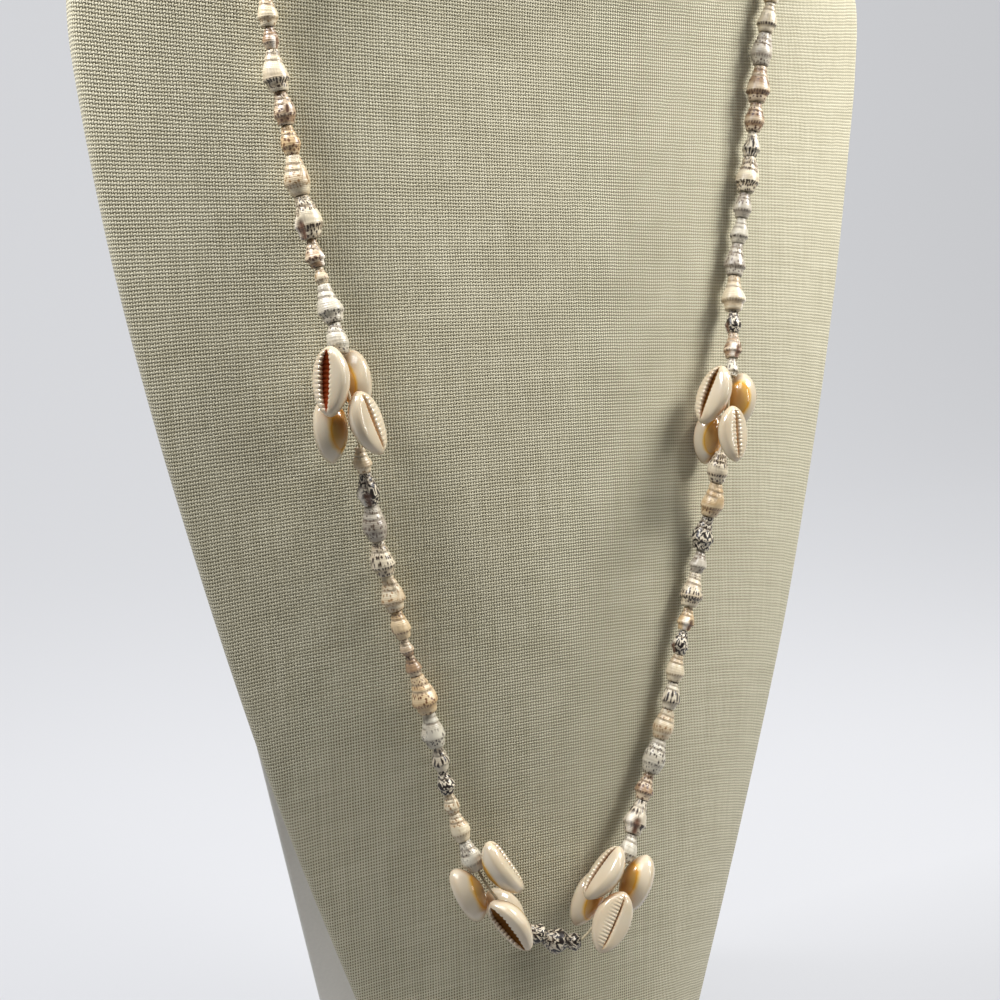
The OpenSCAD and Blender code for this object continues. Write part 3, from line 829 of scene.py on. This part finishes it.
def small_shell(length, fatness, spin, chance):
    """Points, faces and point values of one small shell, with its tip at the origin and its wide
    end up Z. The whorls climb round it, and the mouth opens on one side of the last one."""
    half = fatness * (1.2 + 0.55 * length) / 2
    plump = chance.random()
    outline = WORN_OUTLINES[:, 1] * (1 - plump) + WORN_OUTLINES[:, 2] * plump
    mouthed = 1 if chance.random() < MOUTHED else 0
    seed = chance.random() * 60
    lean_x, lean_y = chance.uniform(-0.22, 0.22), chance.uniform(-0.22, 0.22)
    angles = [tau * j / SHELL_SIDES for j in range(SHELL_SIDES)]
    points, turn, looks, rise = [], [], [], []
    for share in np.linspace(0, 1, SHELL_ROWS):
        fade = min(share / 0.12, 1) * ramp((0.66 - share) / 0.2)
        for a in angles:
            way = (a / tau + spin) % 1
            at = min(max(share + CLIMB * (way - 0.5) * fade, 0), 1)
            r = float(np.interp(at, WORN_OUTLINES[:, 0], outline)) * half
            step = float(np.interp(at, *CREASES))
            # Low knobs round the shoulder of the last whorl
            knob = cos(KNOBS * a) * max(0, 1 - abs(at - 0.5) / 0.14)
            r *= 1 - 0.04 * step + 0.018 * knob
            # The mouth is a long opening beside a thick lip
            gap = (way + 0.5) % 1 - 0.5
            inside = mouthed * max(0, 1 - abs(gap) / 0.075) * ramp((share - 0.50) / 0.14)
            inside *= min(1, (1.04 - share) / 0.08)
            lip = mouthed * max(0, 1 - abs(gap - 0.12) / 0.07) * ramp((share - 0.38) / 0.12)
            r = max(r * (1 - 0.28 * inside) * (1 + 0.03 * lip), BORE_R + SHELL_WALL)
            sway = half * sin(pi * share) * 0.5
            x, y = r * cos(a) + sway * lean_x, r * sin(a) + sway * lean_y
            points.append((x, y, share * length))
            spiral = share * length + way * CLIMB * length * fade
            turn.append((way * pi * half * 1.7 + seed, spiral, seed))
            # Painted shade darkens the creases between whorls; the mouth is partly painted shade
            looks.append((0.6 * step * fade, min(1, lip * 1.2), min(1, inside * 1.6)))
            rise.append(at)
    # The drilled hole shows at each end, and its inside is painted darker as painted shade
    inner = len(points) + 3 * SHELL_SIDES
    for z in (length, length - RIM_DEPTH, RIM_DEPTH, 0):
        points += [(BORE_R * cos(a), BORE_R * sin(a), z) for a in angles]
    turn += turn[-SHELL_SIDES:] * 2 + turn[:SHELL_SIDES] * 2
    looks += [(0.5, 0, 0)] * (4 * SHELL_SIDES)
    rise += [0] * (4 * SHELL_SIDES)
    faces = skin(SHELL_ROWS + 2, SHELL_SIDES)
    faces += bridge(inner - SHELL_SIDES, inner, SHELL_SIDES) + bridge(inner, 0, SHELL_SIDES)
    return np.array(points), faces, turn, looks, rise


def make_string(name, node, numbers, tip_first, gap, materials, chance):
    """All the small shells of one side as one piece."""
    points, faces, slots = [], [], []
    values = {"turn": [], "looks": [], "rise": []}
    for i in numbers:
        ends = joints(i)
        kinds, spins = STRINGS[i][3:]
        for k in range(len(ends) - 1):
            a, b = along(ends[k]), along(ends[k + 1])
            if not tip_first:
                a, b = b, a
            way = unit(b - a)
            length = float(np.linalg.norm(b - a)) - gap
            u = unit(AHEAD - way * np.dot(AHEAD, way))
            v = np.cross(way, u)
            p, f, *marks = small_shell(length, FATNESS[i], -int(spins[k]) / 10, chance)
            first = len(points)
            points += list(a + way * gap / 2 + p[:, :1] * u + p[:, 1:2] * v + p[:, 2:] * way)
            faces += [[first + c for c in face] for face in f]
            slots += [KINDS.index(kinds[k])] * len(f)
            for key, mark in zip(values, marks):
                values[key] += mark
    made = mesh_object(name, points, faces, materials, slots, values)
    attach(made, "root")
    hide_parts(node)


# Cowrie of size 1: height of its back and depth of its base, rows of points along it, points over
# its back, and depth of the slit
COWRIE_BACK = 5
COWRIE_BASE = 2.45
COWRIE_ROWS = 125
COWRIE_SIDES = 27
SLIT_DEPTH = 1.7


def cowrie_girth(t):
    """Share of the full width at a place along a cowrie, from -1 to 1."""
    return max(1 - t * t, 0) ** 0.63 * (1 + 0.06 * t)


def cowrie_local(look, sizes):
    """Points, faces and point values of a cowrie lying along Z with its slit towards -Y."""
    slit_w, left_rib, right_rib, teeth, warmth, dark, shift = look
    half_l = sizes.cowrie_length / MM / 2
    half_w = sizes.cowrie_width / MM / 2
    even = np.linspace(-1, 1, COWRIE_ROWS)
    stations = np.clip(0.35 * np.sin(even * pi / 2) + 0.65 * even, -0.9985, 0.9985)
    # The back is a hump on a thick rounded rim
    hump = []
    for q in np.cos(np.radians(np.linspace(0, 180, COWRIE_SIDES))):
        rim, rise = (1 - abs(q) ** 8) ** 0.5, max(0, 1 - (q / 0.95) ** 2) ** 1.2
        hump.append((q, 0.38 * rim + 0.62 * rise))
    points, place, looks = [], [], []
    for t in stations:
        g = cowrie_girth(t)
        # The base is flat from end to end and the back falls to it, so both ends point along it
        w, h = half_w * g, COWRIE_BACK * g**1.15
        b = COWRIE_BASE * (1 - abs(t) ** 6) ** 0.5
        z = half_l * t
        # The slit stops short of both ends and is widest above the middle
        reach = min(abs(t - 0.02) / 0.88, 1)
        open_half = slit_w / 2 * (1 - reach**3) ** 0.5 * (1 + 0.25 * t) * min(g * 1.1, 1)
        bend = 0.5 * (1 - t * t) - shift * (1 - t * t)
        ends = min(1, (1 - abs(t)) * 7)
        tooth = abs(cos(pi * teeth * t / 2)) ** 0.6 * ends
        valley = (1 - tooth) * ends
        deep = SLIT_DEPTH * g * max(0.06, 1 - reach**5)
        bottom = -b + 0.1 + 1.1 * deep
        ring = [(w * q, h * level) for q, level in hump]
        values = [0] * len(ring)
        fit = min(g * 1.2, 1)

        def lip(sign, rib):
            """From the rim to the bottom of the slit on one side."""
            made = []
            edge = open_half * (1 - 0.25 * tooth)
            roll = min(0.7, 0.4 * (w - open_half))
            start = w * 0.999
            for k in range(1, 13):
                x = start + (edge + roll - start) * (k / 12) ** 0.85
                near = min(1, 1.6 * max(0, 1 - (x - edge) / rib))
                level = -b * max(1 - (x / w) ** 2, 0) ** 0.31
                # Painted shade: the third value darkens the grooves between the ribs
                made.append((sign * x, level + 0.26 * valley * near * fit, 0.22 * valley * near))
            level = made[-1][1]
            # Down into the slit the third value climbs, which darkens it partly as painted shade
            for k in (1, 2, 3):
                a = pi / 2 * k / 3
                x = edge + roll * (1 - sin(a))
                y = level + (1 - cos(a)) * min(roll, deep)
                made.append((sign * x, y, 0.22 * valley + 0.03 * k * k))
            made.append((sign * edge * 0.98, (y + bottom) / 2, 0.8))
            return made

        left, right = lip(-1, left_rib), lip(1, right_rib)
        floor = (0, max(bottom, left[-1][1] + 0.01), 1)
        for x, y, d in left + [floor] + right[::-1]:
            ring.append((x - bend * fit * max(0, 1 - abs(x) / max(w, 0.01)), y))
            values.append(d * min(1, (1 - abs(t)) * 12))
        for (x, y), d in zip(ring, values):
            points.append((x, y, z))
            place.append((x / half_w, y / COWRIE_BACK, z / half_l))
            looks.append((d, warmth, dark))
    faces = closed_skin(len(stations), len(ring))
    return np.array(points), faces, place, looks


def cowrie_frame(row):
    """Place and axes of a cowrie in its cluster."""
    cluster, up_by, off, side_at, slit_at, lean, roll, size = row
    s = CLUSTER_AT[cluster]
    way = unit(along(s + 4) - along(s - 4))
    up = -way if cluster < 2 else way
    out = unit(np.array([0, -1, 0]) + up[1] * up)
    right = np.cross(up, out)
    side_at, slit_at, lean, roll = (radians(v) for v in (side_at, slit_at, lean, roll))
    side = cos(side_at) * out + sin(side_at) * right
    face = cos(slit_at) * out + sin(slit_at) * right
    leant = cos(lean) * up + sin(lean) * face
    slit = cos(lean) * face - sin(lean) * up
    across = np.cross(leant, slit)
    long = cos(roll) * leant + sin(roll) * across
    wide = np.cross(long, slit)
    return along(s) + up_by * up + off * side, wide, -slit, long, size


def make_cowries(colours, sizes):
    """Sixteen cowries in four clusters of four, each its own piece."""
    enamel = cowrie_material(tuple(colours.cowrie), tuple(colours.ring))
    for i, (row, look) in enumerate(zip(COWRIES, COWRIE_LOOKS)):
        middle, wide, back, long, size = cowrie_frame(row)
        p, faces, place, looks = cowrie_local(look, sizes)
        points = middle + size * (p[:, :1] * wide + p[:, 1:2] * back + p[:, 2:] * long)
        values = {"place": place, "looks": looks}
        made = mesh_object(f"polished_cowrie_{i + 1}", points, faces, [enamel], values=values)
        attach(made, "root")
        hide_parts(f"cowrie_{i + 1}")


# Camera: place in metres, yaw, pitch and roll in degrees, lens and film width in millimetres
CAMERA_PLACE = (-0.1734, -0.3402, 0.285)
CAMERA_TURN = (26, 11.7, -0.75)
LENS, FILM = 45, 36
# Backdrop paper in millimetres: where it lies flat, where it turns up, radius of the turn, height
# of its top, places across it, and how far under the bust it lies
PAPER_FLAT = (-1600, -800, 200)
PAPER_TURN = 700
PAPER_RADIUS = 500
PAPER_TOP = 2000
PAPER_ACROSS = (-2200, -700, 700, 2200)
PAPER_UNDER = 0.2
# Lights: place, width, height, power in watts, colour, and the place each points at
ON_STRAND = (0, -0.02, 0.25)
ON_PAPER = (0.35, 1, 0.3)
LIGHTS = {
    "key light": ((0.46, -0.24, 0.70), 0.22, 0.22, 6.7, "#fdfcfb", ON_STRAND),
    "top fill": ((-0.16, -0.22, 0.84), 0.30, 0.30, 1.4, "#fbfbff", ON_STRAND),
    "left edge light": ((-0.30, -0.01, 0.61), 0.12, 0.15, 2.8, "#fbfbff", ON_STRAND),
    "strip light": ((0.34, -0.47, 0.42), 0.02, 0.34, 0.5, "#ffffff", ON_STRAND),
    "backdrop light": ((0.35, 0.35, 1.7), 1.4, 1.4, 9, "#f6f8ff", ON_PAPER),
}
# Strength of the studio round about, as it lights the object and as it looks
STUDIO_LIGHT = 0.045
STUDIO_SEEN = 0.72


def make_camera(scene):
    """The camera of the photograph's angle."""
    camera = bpy.data.objects.new("camera", bpy.data.cameras.new("camera"))
    scene.collection.objects.link(camera)
    camera.data.sensor_width = FILM
    camera.data.lens = LENS
    camera.data.clip_start = 0.01
    yaw, pitch, roll = (radians(v) for v in CAMERA_TURN)
    x, y = sin(yaw) * cos(pitch), cos(yaw) * cos(pitch)
    forward = Vector((x, y, -sin(pitch)))
    right = Vector((cos(yaw), -sin(yaw), 0))
    down = forward.cross(right)
    across = cos(roll) * right + sin(roll) * down
    down = -sin(roll) * right + cos(roll) * down
    turn = Matrix((across, -down, -forward)).transposed().to_4x4()
    camera.matrix_world = Matrix.Translation(CAMERA_PLACE) @ turn
    scene.camera = camera


def make_stage(colours):
    """Camera, soft light from the upper right, and a pale floor that curves up as backdrop."""
    scene = bpy.context.scene
    make_camera(scene)

    profile = [(y, 0) for y in PAPER_FLAT + (PAPER_TURN,)]
    for a in np.radians(np.linspace(5, 90, 18)):
        rise = PAPER_RADIUS * (1 - cos(a))
        profile.append((PAPER_TURN + PAPER_RADIUS * sin(a), rise))
    profile += [(PAPER_TURN + PAPER_RADIUS, z) for z in (PAPER_TOP / 2, PAPER_TOP)]
    points = [(x, y, z - PAPER_UNDER) for y, z in profile for x in PAPER_ACROSS]
    faces = skin(len(profile), len(PAPER_ACROSS), closed=False)
    paper, add, shader = new_material("matt backdrop paper")
    # A little light comes through the paper, as from a lit studio table, and evens out its tone
    place = add("TexCoord").outputs["Object"]
    depth = add("SeparateXYZ", [place]).outputs["Y"]
    glow = add("MapRange", [depth, -0.34, 0.06, 0, 0.65])
    dim = {"Base Color": rgba(shade(colours.backdrop, 0.28, 0.28, 0.28)), "Roughness": 0.75}
    wire(shader, {"Emission Color": rgba(colours.backdrop), "Emission Strength": glow, **dim})
    floor = mesh_object("floor", points, faces, [paper])

    for name, (place, width, height, power, tint, aim) in LIGHTS.items():
        light = bpy.data.lights.new(name, "AREA")
        light.shape = "RECTANGLE"
        light.size, light.size_y = width, height
        light.energy = power
        light.color = linear(tint)
        lamp = bpy.data.objects.new(name, light)
        scene.collection.objects.link(lamp)
        lamp.location = place
        lamp.rotation_euler = (Vector(aim) - Vector(place)).to_track_quat("-Z", "Y").to_euler()
    world = bpy.data.worlds.new("studio")
    scene.world = world
    world.use_nodes = True
    add = partial(add_node, world.node_tree)
    # The studio beyond the paper looks pale and gives little light
    seen = add("LightPath").outputs["Is Camera Ray"]
    strength = add("MapRange", [seen, 0, 1, STUDIO_LIGHT, STUDIO_SEEN])
    background = world.node_tree.nodes["Background"]
    wire(background, {"Color": rgba("#f3f0e8"), "Strength": strength})
    scene.view_settings.view_transform = "Standard"


class NECKLACE_OT_stage(bpy.types.Operator):
    """Makes the camera, the lights and the backdrop"""

    bl_idname = "necklace.stage"
    bl_label = "Stage"

    def execute(self, context):
        make_stage(context.scene.necklace_colours)
        return {"FINISHED"}


class NECKLACE_OT_bust(bpy.types.Operator):
    """Makes the linen bust and the card on its back"""

    bl_idname = "necklace.bust"
    bl_label = "Linen bust"

    def execute(self, context):
        make_bust(context.scene.necklace_colours, context.scene.necklace_sizes)
        return {"FINISHED"}


class NECKLACE_OT_leg(bpy.types.Operator):
    """Makes the leg board and its hinge tape"""

    bl_idname = "necklace.leg"
    bl_label = "Back leg"

    def execute(self, context):
        make_leg(context.scene.necklace_colours, context.scene.necklace_sizes)
        return {"FINISHED"}


class NECKLACE_OT_thread(bpy.types.Operator):
    """Makes the twisted thread"""

    bl_idname = "necklace.thread"
    bl_label = "Thread"

    def execute(self, context):
        make_thread(context.scene.necklace_colours, context.scene.necklace_sizes)
        return {"FINISHED"}


class NECKLACE_OT_small_shells(bpy.types.Operator):
    """Makes the two strings of small shells"""

    bl_idname = "necklace.small_shells"
    bl_label = "Small shells"

    def execute(self, context):
        materials = [small_shell_material(kind) for kind in KINDS]
        gap = context.scene.necklace_sizes.shell_gap / MM
        chance = random.Random(SEED)
        make_string("dove_shells_left", "shells_left", (0, 1, 2), True, gap, materials, chance)
        make_string("dove_shells_right", "shells_right", (3, 4), False, gap, materials, chance)
        return {"FINISHED"}


class NECKLACE_OT_cowries(bpy.types.Operator):
    """Makes the sixteen cowries"""

    bl_idname = "necklace.cowries"
    bl_label = "Cowries"

    def execute(self, context):
        make_cowries(context.scene.necklace_colours, context.scene.necklace_sizes)
        return {"FINISHED"}


PIECES = (
    NECKLACE_OT_stage,
    NECKLACE_OT_bust,
    NECKLACE_OT_leg,
    NECKLACE_OT_thread,
    NECKLACE_OT_small_shells,
    NECKLACE_OT_cowries,
)


class NECKLACE_PT_pieces(bpy.types.Panel):
    """Lists the pieces with their sizes and colours"""

    bl_idname = "NECKLACE_PT_pieces"
    bl_label = "Cowrie necklace"
    bl_space_type = "VIEW_3D"
    bl_region_type = "UI"
    bl_category = "Necklace"

    def draw(self, context):
        for piece in PIECES:
            self.layout.operator(piece.bl_idname)
        for group in (context.scene.necklace_sizes, context.scene.necklace_colours):
            for key in group.__annotations__:
                self.layout.prop(group, key)


CLASSES = (NecklaceSizes, NecklaceColours, *PIECES, NECKLACE_PT_pieces)


def register():
    for cls in CLASSES:
        bpy.utils.register_class(cls)
    bpy.types.Scene.necklace_sizes = bpy.props.PointerProperty(type=NecklaceSizes)
    bpy.types.Scene.necklace_colours = bpy.props.PointerProperty(type=NecklaceColours)


def unregister():
    del bpy.types.Scene.necklace_colours
    del bpy.types.Scene.necklace_sizes
    for cls in reversed(CLASSES):
        bpy.utils.unregister_class(cls)


def main():
    register()
    bpy.ops.necklace.stage()
    bpy.ops.necklace.bust()
    bpy.ops.necklace.leg()
    bpy.ops.necklace.thread()
    bpy.ops.necklace.small_shells()
    bpy.ops.necklace.cowries()


if __name__ == "__main__":
    main()
